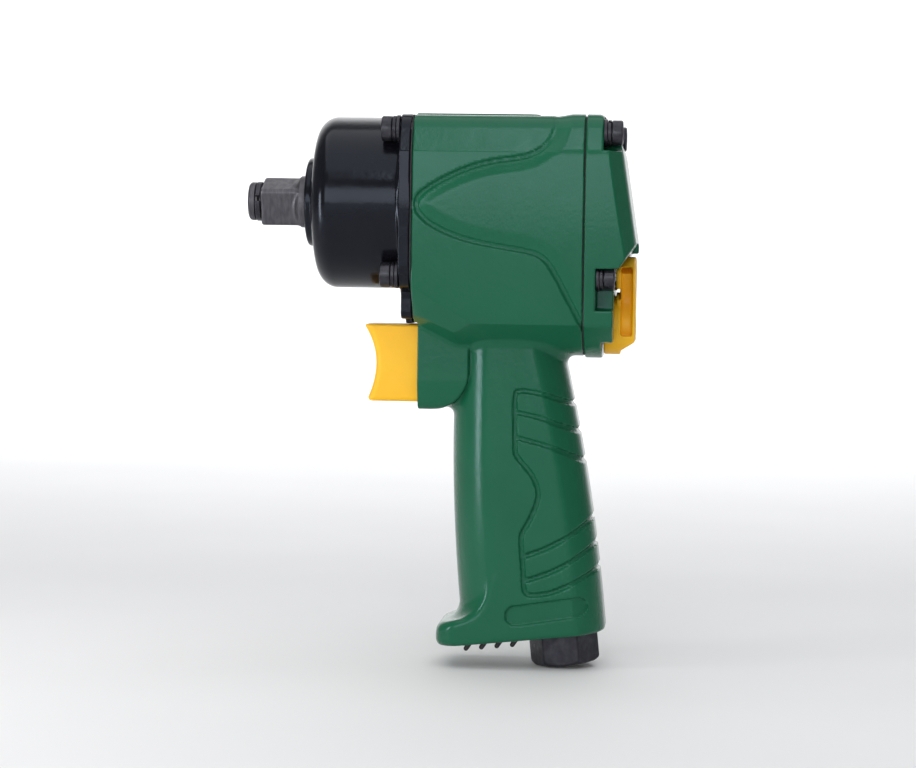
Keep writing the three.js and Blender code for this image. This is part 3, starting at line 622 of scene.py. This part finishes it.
def handle(x, y, z):
    """The grip and its foot, without the grooves."""
    width = np.abs(y)
    nose = corner_distance(grip_front(z) + 18.3 - x, width, 18.3)
    plan = corner_distance(74.6 - x, width - 7.5, 10)
    toe = meet(plan, outline(x, z, FOOT_PROFILE), 2.6)
    tail = corner_distance(x - grip_rear(z) + 14, width - 4.2, 14)
    column = np.maximum(join(nose, toe, 5), tail)
    column = meet(column, width - GRIP_HALF_WIDTH, 0.8)
    underside = beyond(x, z, HEEL, (0.108, -0.994))
    return meet(column, underside, 2.8 - 1.6 * ramp(x, 66, 74))


REAR_PATH = [
    (116, -67.6), (110.5, -65.6), (105, -63.8), (100.4, -62.2), (94.5, -61.2), (92.1, -61.5),
    (91.3, -63.0), (91.3, -72), (91.5, -80.5), (92.3, -82.9), (94.5, -85.6), (97.2, -88.9),
    (98.9, -92.7), (99.3, -95.8), (98.4, -99.4), (96.5, -103.9), (94.6, -107.2), (93.9, -110),
    (94.2, -114), (94.8, -121.5), (95.1, -126.0), (96.0, -127.9), (98.2, -128.4), (104.1, -127.4),
    (110.6, -124.5), (116, -121.5), (124, -116.5),
]
GROOVES = [
    curved(REAR_PATH, 3),
    curved([(91.3, -68.2), (95, -68.9), (100.5, -70.2), (105, -72), (110.8, -74.1), (118, -77.4)], 3),
    curved([(91.4, -76.4), (95, -77.3), (102, -79.1), (107, -81.1), (112, -83.4), (120, -87.6)], 3),
    curved([
        (94.2, -116.0), (101.2, -113.3), (107.1, -110.2), (112, -107.1), (118, -102.3), (124, -97),
    ], 3),
    curved([
        (94.8, -124.0), (103, -121.0), (108.5, -118.2), (113.5, -115), (119, -110.8), (126, -105),
    ], 3),
]
STADIUM = ((92.3, -135.4), (112.7, -132.1))
STADIUM_RADIUS = 3.6


def handle_relief(x, z):
    """Depth of the grip's grooves and of the blank oval recess at its foot."""
    near = along(x, z, GROOVES[0])
    for path in GROOVES[1:]:
        near = np.minimum(near, along(x, z, path))
    grooves = 0.8 * (1 - ramp(near, 0.4, 1.0))
    oval = 0.8 * (1 - ramp(along(x, z, STADIUM), STADIUM_RADIUS - 0.6, STADIUM_RADIUS))
    return grooves + oval


def boss(x, y, z):
    """The trigger's boss under the front of the motor section."""
    width = np.abs(y)
    under = BOSS_BOTTOM - z
    slanted = beyond(width, z, (BOSS_HALF_WIDTH, -59.4), (0.958, -0.287))
    side = meet(width - BOSS_HALF_WIDTH, slanted, 0.3)
    return meet(meet(x - 75.6, under, 13), meet(side, under, 3), 0.6)


def trigger_pocket(x, y, z):
    """The pocket the trigger slides into, a little larger than the trigger all round."""
    middle = (TRIGGER_TOP + TRIGGER_BOTTOM) / 2
    opening = meet(np.abs(y) - 9.9, np.abs(z - middle) - 13.2, 1.0)
    return np.maximum(opening, x - POCKET_REAR)


def housing(x, y, z):
    grip = np.maximum(handle(x, y, z) + handle_relief(x, z), z + 36)
    body = join(barrel(x, y, z), grip, 1.9 + 1.8 * ramp(x, 98, 106))
    body = join(body, np.maximum(boss(x, y, z), z + 36), 4.0 - 3.2 * ramp(z, -69, -62))
    body = meet(body, HOUSING_FRONT - x, 0.5)
    body = carve(body, np.maximum(x - BOSS_FRONT, z - CHIN_STEP), 0.4)
    body = meet(body, np.where(z > -55, x - HOUSING_REAR, -20.0), 0.4)
    return carve(body, trigger_pocket(x, y, z), 0.5)


def make_housing():
    low, high = (HOUSING_FRONT, 0, -148.4), (122, 29.2, 30.6)
    obj = solid("motor_housing_casting", housing, low, high, 0.6, own_normals=False)
    cutters = [bar(MOTOR_BORE, HOUSING_FRONT - 1, HOUSING_REAR + 1, count=96)]
    for y in (-SCREW_Y, SCREW_Y):
        for z in (-SCREW_Z, SCREW_Z):
            rear_z = min(z, REAR_UPPER_SCREW_Z)
            cutters.append(bar(SCREW_HOLE, HOUSING_FRONT - 1, HOUSING_FRONT + 16, y, z, 24))
            cutters.append(bar(SCREW_HOLE, HOUSING_REAR - 15, HOUSING_REAR + 1, y, rear_z, 24))
    cutters += [
        bar(6.7, 67, 100.5, 0, THROTTLE_Z),
        bar(6.6, 92, HOUSING_REAR + 1, 0, REVERSE_Z),
        block((75, -10, -105), (86, 10, -18)),
        block((76.5, -7, -141), (86, 7, -104)),
        post(6.5, -1, 89, place=AT_FOOT),
        post(9.3, -1, 14, place=AT_FOOT),
        block((-34.3, -12.3, -5), (-12.9, 12.3, 6), AT_FOOT),
    ]
    cut_out(obj, cutters)
    shade_from_field(obj, housing)
    finish_piece(obj, "root", "green_casting", "motor_housing")


# ---------- rear cover ----------
def cover(x, y, z):
    width = np.abs(y)
    above = z - REVERSE_Z
    radius = np.sqrt(y * y + above * above)
    body = meet(section(y, z), slab(x, COVER_FRONT, 140), 0.4)
    back = beyond(x - 0.0008 * y * y, z, (124.9, 18.6), (31.4, 4.9))
    bevel = plane(x, width, z, (120.8, 29, 16.8), (126.6, 29, -18.5), (125.3, 22, 16.8))
    body = meet(body, meet(back, bevel, 1.2), 0.4)
    body = meet(body, beyond(x, z, (119.2, 28.6), (10.5, 6.4)), 1.2)
    body = carve(body, np.maximum(123.0 - x, z + 20.8), 0.6)
    body = carve(body, np.maximum(119.1 - x, z + 44.9), 0.5)
    body = carve(body, np.maximum(-beyond(x, z, (127.2, -17.0), (7.6, -5.2)), slab(z, -24, -13.2)), 0.5)
    fan_room = np.maximum(radius - FAN_RADIUS - 1, 123.0 - x)
    body = carve(body, fan_room, 0.5)
    high_pocket = np.maximum(meet(18.8 - width, 17.3 - z, 3.5), UPPER_SEAT - x)
    body = carve(body, high_pocket, 0.6)
    low_pocket = np.maximum(meet(18.8 - width, np.abs(z + 27.6) - 6.8, 1.2), LOWER_SEAT - x)
    body = carve(body, low_pocket, 0.45)
    body = carve(body, np.maximum(radius - 10.2, 119.1 - x), 0.4)
    body = np.maximum(body, 6.6 - radius)
    detent = np.sqrt(y * y + (above - 13) ** 2)
    body = np.maximum(body, np.minimum(1.8 - detent, x - 117))
    hollow = np.maximum(np.sqrt(y * y + z * z) - 19, x - 118.5)
    body = np.maximum(body, -hollow)
    spigot = np.maximum(np.abs(np.sqrt(y * y + z * z) - 21.85) - 1.85, slab(x, 111.3, 114.1))
    nub = meet(meet(slab(x, 124, 130.5), slab(z, -15.8, -12.4), 0.6), width - 4, 0.6)
    body = np.minimum(body, np.minimum(spigot, nub))
    off = np.where(z > 0, z - REAR_UPPER_SCREW_Z, z + SCREW_Z)
    holes = np.sqrt((width - SCREW_Y) ** 2 + off**2)
    return np.maximum(body, SCREW_HOLE - holes)


def make_cover():
    obj = solid("rear_cover_casting", cover, (111.3, 0, -49.8), (130.6, 29.2, 30.2), 0.5)
    finish_piece(obj, "root", "green_casting", "rear_cover")


# ---------- hammer case ----------
def flange_section(y, z):
    width = np.abs(y)
    square = meet(meet(z - 28.7, flank(y, z) + 0.3, 5), -28.7 - z, 8)
    tongue = np.maximum(meet(width - 17, -38.3 - z, 2.5), z + 20)
    return join(square, tongue, 3)


def hammer_case(x, y, z):
    radius = np.sqrt(y * y + z * z)
    face = beyond(x, radius, (22.6, 15), (-0.989, 0.15))
    shell = meet(face, radius - CASE_RADIUS, 5.3)
    shell = meet(shell, x - FLANGE_REAR, 0.2)
    nose = meet(radius - 14.7, NOSE_FRONT - x, 0.9)
    shell = join(shell, np.maximum(nose, x - 30), 0.7)
    flange = meet(flange_section(y, z), slab(x, FLANGE_FRONT, FLANGE_REAR), 0.5)
    case = join(shell, flange, 1.3)
    lip = meet(meet(slab(x, 54.2, FLANGE_REAR), np.abs(y) - 12, 0.5), slab(z, -39.8, -30), 0.5)
    case = np.minimum(case, lip)
    case = np.maximum(case, x - FLANGE_REAR)
    case = carve(case, np.minimum(radius - 11.6, np.maximum(radius - 23.6, 28.3 - x)), 0.4)
    width = np.abs(y)
    holes = np.sqrt((width - SCREW_Y) ** 2 + (np.abs(z) - SCREW_Z) ** 2)
    return np.maximum(case, SCREW_HOLE - holes)


def make_case():
    obj = solid("hammer_case_casting", hammer_case, (NOSE_FRONT, 0, -39.9), (56.9, 29.2, 29.2), 0.5)
    finish_piece(obj, "root", "black_case", "hammer_case")


# ---------- gaskets ----------
def section_ring(x, field, inset, count=240):
    """Points where a cross-section field reaches -inset, seen from the drive axis."""
    angle = np.arange(count) * 2 * math.pi / count
    near, far = np.full(count, 20.0), np.full(count, 70.0)
    for _ in range(40):
        middle = (near + far) / 2
        inside = field(middle * np.cos(angle), middle * np.sin(angle)) < -inset
        near, far = np.where(inside, middle, near), np.where(inside, far, middle)
    return np.stack([np.full(count, x), near * np.cos(angle), near * np.sin(angle)], 1)


def make_gasket(name, field, front, rear, inset):
    rings = [
        section_ring(front, field, inset), section_ring(rear, field, inset),
        circle(rear, MOTOR_BORE, 240), circle(front, MOTOR_BORE, 240),
    ]
    obj = loft(name + "_sheet", rings, closed=True)
    upper = REAR_UPPER_SCREW_Z if name == "rear_gasket" else SCREW_Z
    cutters = [
        bar(SCREW_HOLE, front - 1, rear + 1, y, z, 24)
        for y in (-SCREW_Y, SCREW_Y) for z in (-SCREW_Z, upper)
    ]
    if name == "rear_gasket":
        cutters.append(bar(7, front - 1, rear + 1, 0, REVERSE_Z))
    cut_out(obj, cutters)
    shade(obj)
    finish_piece(obj, "root", "gasket_fibre", name)


# ---------- anvil ----------
ANVIL_PROFILE = [
    (0, 5.7), (0.55, 6.25), (2.0, 6.25), (2.0, 5.1), (2.9, 5.1), (2.9, 4.3), (3.7, 4.3), (3.7, 5.1),
    (15.0, 5.1), (15.2, 6.2), (17.0, 8.1), (17.5, 8.5), (28.6, 8.5), (28.6, 10.6), (30.4, 10.6),
    (30.4, 7.8), (48.6, 7.8), (48.6, 4.5), (50.8, 4.5),
]
ANVIL_OUTLINE = [*ANVIL_PROFILE, *((x, -radius) for x, radius in ANVIL_PROFILE[::-1])]


def anvil(x, y, z):
    radius = np.sqrt(y * y + z * z)
    turned = outline(x, radius, ANVIL_OUTLINE)
    across = y * math.cos(DRIVE_TURN) + z * math.sin(DRIVE_TURN)
    up = z * math.cos(DRIVE_TURN) - y * math.sin(DRIVE_TURN)
    square = meet(np.abs(across) - DRIVE_HALF_SIZE, np.abs(up) - DRIVE_HALF_SIZE, 1.4)
    square = meet(square, 4.4 - x, 0.7)
    square = np.maximum(square, x - 19)
    lobe = np.maximum(np.maximum(np.abs(y) - 2.25, slab(z, -10, -6)), slab(x, 34.4, 48.2))
    return join(join(turned, square, 0.8), lobe, 0.5) - 0.12


def make_anvil():
    obj = solid("anvil_forging", anvil, (0, -10.8, -10.8), (50.9, 10.8, 10.8), 0.32, mirrored=False)
    finish_piece(obj, "anvil", "drive_steel", "anvil")


def friction_ring(x, y, z):
    radius = np.sqrt(y * y + z * z)
    ring = meet(np.abs(x - 3.2) - 0.95, np.abs(radius - 5.95) - 0.62, 0.45)
    slit = np.maximum(np.abs(z - 0.9) - 0.9, y + 4)
    return carve(ring, slit, 0.2)


def make_friction_ring():
    low, high = (2.1, -6.8, -6.8), (4.3, 6.8, 6.8)
    obj = solid("friction_ring_split", friction_ring, low, high, 0.16, mirrored=False)
    finish_piece(obj, "anvil", "black_steel", "friction_ring")


# ---------- trigger ----------
def trigger(x, y, z):
    off = z + 53.2
    hollow = np.where(off > 0, 0.0255, 0.0195) * off * off
    slope = np.where(off > 0, 0.051, 0.039) * off
    face = (44.0 - hollow - x) / np.sqrt(1 + slope * slope)
    width = np.abs(y)
    body = meet(face, width - TRIGGER_HALF_WIDTH, 2.6)
    body = meet(body, z - TRIGGER_TOP, 1.1)
    body = meet(body, TRIGGER_BOTTOM - z, 1.7)
    body = meet(body, x - TRIGGER_REAR, 0.6)
    pin = np.sqrt(y * y + (z - THROTTLE_Z) ** 2)
    return np.maximum(body, -np.maximum(pin - 2.6, 59.4 - x))


def make_trigger():
    obj = solid("trigger_moulding", trigger, (39.8, 0, -66), (61.6, 9.6, -40.2), 0.32)
    finish_piece(obj, "trigger", "yellow_plastic", "trigger")


def make_throttle_spring():
    """The coil behind the throttle valve, built at one fixed length, though the real one shortens as the
    trigger is pulled.
    """
    front, rear, radius, wire, turns = 88.3, 99.7, 3.8, 0.5, 6
    around = np.arange(12) * 2 * math.pi / 12
    rings = []
    for turn in np.linspace(0, turns, turns * 28 + 1):
        angle = turn * 2 * math.pi
        reach = radius + wire * np.cos(around)
        x = front + (rear - front) * turn / turns + wire * np.sin(around)
        rings.append(np.stack([x, reach * math.cos(angle), reach * math.sin(angle) + THROTTLE_Z], 1))
    obj = loft("throttle_spring_coil", np.array(rings), smooth_angle=50)
    finish_piece(obj, "root", "machined_steel", "throttle_spring")
    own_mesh(obj)


# ---------- reverse lever ----------
def reverse_lever(x, y, z):
    width = np.abs(y)
    above = z - REVERSE_Z
    radius = np.sqrt(y * y + above * above)
    edge = width * math.cos(FAN_HALF_ANGLE) - above * math.sin(FAN_HALF_ANGLE)
    fan = meet(meet(radius - FAN_RADIUS, edge, 1.5), -1.5 - above, 2)
    fan = join(fan, radius - 9.7, 3)
    body = meet(fan, slab(x, LEVER_FRONT, LEVER_REAR), 0.8)
    body = meet(body, beyond(x, z, (129.1, -45.4), (3.4, -5.3)), 0.6)
    hub = meet(radius - 9.7, slab(x, 119.5, 125), 0.5)
    body = np.minimum(body, hub)
    channel = meet(meet(slab(x, 125.0, 128.8), -3.2 - fan, 1.0), slab(above, -3.5, 19.2), 1.0)
    body = carve(body, channel, 0.4)
    track = np.maximum(np.abs(radius - 13) - 2.1, x - 124.7)
    body = np.maximum(body, -track)
    body = np.maximum(body, 1.8 - radius)
    return np.maximum(body, -np.maximum(radius - 3.4, 126.6 - x))


def make_reverse_lever():
    low, high = (119.4, 0, -49.3), (129.9, 17, -16.7)
    obj = solid("reverse_lever_moulding", reverse_lever, low, high, 0.3)
    finish_piece(obj, "reverse", "yellow_plastic", "reverse_lever")


# ---------- exhaust deflector and air inlet, in the foot's frame ----------
def deflector(x, y, z):
    width = np.abs(y)
    plate = meet(meet(slab(x, -34, -13.2), width - 12, 1.5), slab(z, 0.1, 2.4), 0.3)
    fins = np.full_like(x + y + z, 50)
    for index in range(4):
        root = -31.2 + FIN_PITCH * index
        fin = np.sqrt(to_segment(x, z, (root + 1.9, 1.2), (root - 0.9, -2.0))) - 0.8
        fins = np.minimum(fins, meet(fin, width - 10, 0.6))
        if index:
            plate = np.maximum(plate, -np.maximum(slab(x, root - 1.9, root + 0.2), width - 9))
    return join(plate, fins, 0.4)


def make_deflector():
    low, high = (-34.1, 0, -3.0), (-13.1, 12.1, 2.5)
    obj = solid("exhaust_deflector_moulding", deflector, low, high, 0.3, place=AT_FOOT)
    finish_piece(obj, "root", "black_plastic", "exhaust_deflector")


def inlet(x, y, z):
    radius = np.sqrt(x * x + y * y)
    along_flat = np.abs(x * math.cos(HEX_TURN) + y * math.sin(HEX_TURN))
    across_flat = np.abs(y * math.cos(HEX_TURN) - x * math.sin(HEX_TURN))
    slanted = along_flat * math.cos(math.pi / 6) + across_flat * math.sin(math.pi / 6)
    flats = meet(across_flat - HEX_HALF_FLAT, slanted - HEX_HALF_FLAT, 0.5)
    hexagon_body = meet(flats, slab(z, -10.4, -0.3), 0.4)
    hexagon_body = meet(hexagon_body, beyond(radius, z, (10.2, -10.4), (0.62, -0.78)), 0.5)
    shank = meet(radius - 9, z - 12, 0.6)
    body = np.minimum(hexagon_body, np.maximum(shank, -1 - z))
    turn = z / 1.41 + np.arctan2(y, x) / (2 * math.pi)
    thread = 5.7 + 0.35 * np.cos(2 * math.pi * turn)
    mouth = beyond(radius, z, (6.9, -10.4), (0.7, 0.7))
    return np.maximum(np.maximum(body, thread - radius), -mouth)


def make_inlet():
    low, high = (-12.2, -10.6, -10.5), (12.2, 10.6, 12.1)
    obj = solid("inlet_bushing_hex", inlet, low, high, 0.3, mirrored=False, place=AT_FOOT)
    finish_piece(obj, "root", "black_steel", "inlet_bushing")


# ---------- fasteners ----------
def screw_rings(head_radius, height, shank, length, socket):
    """A socket cap screw: its head's underside at X = 0, the shank towards +X."""
    return [
        circle(length, shank - 0.5), circle(length - 0.5, shank), circle(0, shank),
        circle(0, head_radius - 0.3), knurled(-0.35, head_radius), knurled(0.45 - height, head_radius),
        circle(0.15 - height, head_radius - 0.25), circle(-height, head_radius - 0.6),
        circle(-height, socket + 0.55), circle(0.3 - height, socket + 0.28),
        hexagon(0.32 - height, socket), hexagon(height * -0.42, socket), circle(height * -0.36, 0.4),
    ]


def placed(rings, x, y, z, backwards):
    """Rings moved to a seat; backwards turns them to face the rear."""
    rings = np.array(rings)
    if backwards:
        rings = rings * [-1, -1, 1]
    return rings + [x, y, z]


def lock_washer_rings(steps=44):
    """A split spring washer from X = 0 to its thickness, cut on a slant."""
    profile = [(0.0, 2.75), (0.0, 4.1), (0.12, 4.22), (1.0, 4.22), (1.12, 4.1), (1.12, 2.75)]
    rings = []
    for step in range(steps + 1):
        share = step / steps
        ring = []
        for x, radius in profile:
            angle = 0.09 + share * (2 * math.pi - 0.18) + 0.12 * x + 0.9
            ring.append((x + 0.04 + 0.12 * share, radius * math.cos(angle), radius * math.sin(angle)))
        rings.append(ring)
    return rings


def flat_washer_rings():
    profile = [(0.05, 2.6), (0.05, 4.3), (0.2, 4.45), (1.0, 4.45), (1.15, 4.3), (1.15, 2.6)]
    return [circle(x, radius) for x, radius in profile]


def make_fasteners():
    corners = [(-1, 1), (1, 1), (1, -1), (-1, -1)]
    for index, (side, height) in enumerate(corners):
        y, front_z = side * SCREW_Y, height * SCREW_Z
        rear_z = min(front_z, REAR_UPPER_SCREW_Z)
        rear_seat = UPPER_SEAT if rear_z > 0 else LOWER_SEAT
        ends = (("front", FLANGE_FRONT, front_z, False), ("rear", rear_seat, rear_z, True))
        for end, seat, z, backwards in ends:
            out = 1 if backwards else -1
            number = f"{end}_{{}}_{index + 1}"
            under_head = seat + out * (FLAT_WASHER + LOCK_WASHER + 0.05)
            rings = screw_rings(
                SCREW_HEAD_RADIUS, SCREW_HEAD_HEIGHT, SCREW_SHANK, SCREW_LENGTH, SCREW_SOCKET
            )
            screw = loft(number.format("cap_screw"), placed(rings, under_head, y, z, backwards))
            finish_piece(screw, "root", "black_steel", number.format("screw"))
            start = seat + out * (FLAT_WASHER + LOCK_WASHER)
            rings = placed(lock_washer_rings(), start, y, z, backwards)
            washer = loft(number.format("spring_washer"), rings)
            finish_piece(washer, "root", "black_steel", number.format("lock_washer"))
            rings = placed(flat_washer_rings(), seat + out * FLAT_WASHER, y, z, backwards)
            washer = loft(number.format("flat_washer"), rings, closed=True)
            finish_piece(washer, "root", "black_steel")


def make_lever_screw():
    rings = screw_rings(3.0, 2.4, 1.5, 13.9, 1.25)
    screw = loft("lever_cap_screw", placed(rings, 126.8, 0, REVERSE_Z, True))
    finish_piece(screw, "reverse", "black_steel", "lever_screw")


make_housing()
make_cover()
make_case()
make_gasket("front_gasket", flange_section, 56.85, 57.25, 0.15)
make_gasket("rear_gasket", section, 113.05, 113.45, 0.9)
make_anvil()
make_friction_ring()
make_trigger()
make_throttle_spring()
make_reverse_lever()
make_deflector()
make_inlet()
make_fasteners()
make_lever_screw()


# ---------- camera, floor and light ----------
def make_camera():
    spot = Vector((0.1492, -0.868, -0.0162))
    aim = Vector((0.0708, 0, -0.0602))
    roll = math.radians(0.85)
    forward = (aim - spot).normalized()
    right = forward.cross(Vector((0, 0, 1))).normalized()
    up = right.cross(forward)
    side = right * math.cos(roll) + up * math.sin(roll)
    top = up * math.cos(roll) - right * math.sin(roll)
    camera = bpy.data.cameras.new("camera")
    camera.lens = 102.4
    camera.sensor_width = 36
    camera.sensor_fit = "HORIZONTAL"
    camera.clip_end = 50
    obj = bpy.data.objects.new("camera", camera)
    axes = Matrix((side, top, -forward)).transposed().to_4x4()
    obj.matrix_world = Matrix.Translation(spot) @ axes
    bpy.context.scene.collection.objects.link(obj)
    bpy.context.scene.camera = obj


def softbox(name, spot, aim, size, power):
    light = bpy.data.lights.new(name, "AREA")
    light.shape = "RECTANGLE"
    light.size, light.size_y = size
    light.energy = power
    obj = bpy.data.objects.new(name, light)
    obj.location = spot
    obj.rotation_euler = (Vector(aim) - Vector(spot)).to_track_quat("-Z", "Y").to_euler()
    bpy.context.scene.collection.objects.link(obj)


def make_stage():
    """A pale floor that curves up into a backdrop behind the tool."""
    floor_z = min(cad_box[0].z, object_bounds()[0].z)
    radius = 0.9
    far = 1.6
    angle = np.linspace(0, math.pi / 2, 25)
    profile = [(-4.0, 0.0), (0.6, 0.0)]
    profile += [(far + radius * math.sin(a), radius - radius * math.cos(a)) for a in angle]
    profile.append((far + radius, 5.0))
    bm = bmesh.new()
    rows = [[bm.verts.new((x, y, floor_z + z)) for x in (-5, 5)] for y, z in profile]
    for a, b in zip(rows, rows[1:]):
        bm.faces.new((a[0], a[1], b[1], b[0]))
    mesh = bpy.data.meshes.new("floor")
    bm.to_mesh(mesh)
    bm.free()
    floor = bpy.data.objects.new("floor", mesh)
    bpy.context.scene.collection.objects.link(floor)
    shade(floor, 60)
    paper = Look("studio_paper", (0.86, 0.86, 0.865), 0.8)
    paper.tone((0.88, 0.88, 0.885), 6).bump(300, 0.00004)
    floor.data.materials.append(paper.material)


def make_light():
    middle = (0.075, 0, -0.05)
    softbox("ceiling", (0.05, -0.45, 1.25), (0.05, -0.44, 0), (1.7, 2.0), 14)
    softbox("front_strip", (-0.15, -1.75, 0.26), middle, (1.5, 0.62), 10)
    softbox("high_strip", (0.02, -1.45, 1.02), middle, (0.3, 0.3), 1.5)
    softbox("left_strip", (-0.36, -0.25, -0.04), (0.08, 0, -0.07), (0.09, 0.22), 0.75)
    softbox("backdrop_light", (-0.1, 0.9, 1.7), (-0.1, 2.5, 1.1), (2.2, 0.5), 60)
    world = bpy.data.worlds.new("studio")
    world.use_nodes = True
    world.node_tree.nodes["Background"].inputs["Color"].default_value = (0.78, 0.8, 0.83, 1)
    world.node_tree.nodes["Background"].inputs["Strength"].default_value = 0.26
    bpy.context.scene.world = world
    bpy.context.scene.view_settings.view_transform = "Standard"


def dress_cad_nodes():
    for part in frame["record"]["subparts"]:
        node = frame["nodes"][part["node"]]
        node.data.materials.clear()
        node.data.materials.append(LOOKS[part["material_slot"]])


dress_cad_nodes()
make_camera()
make_stage()
make_light()
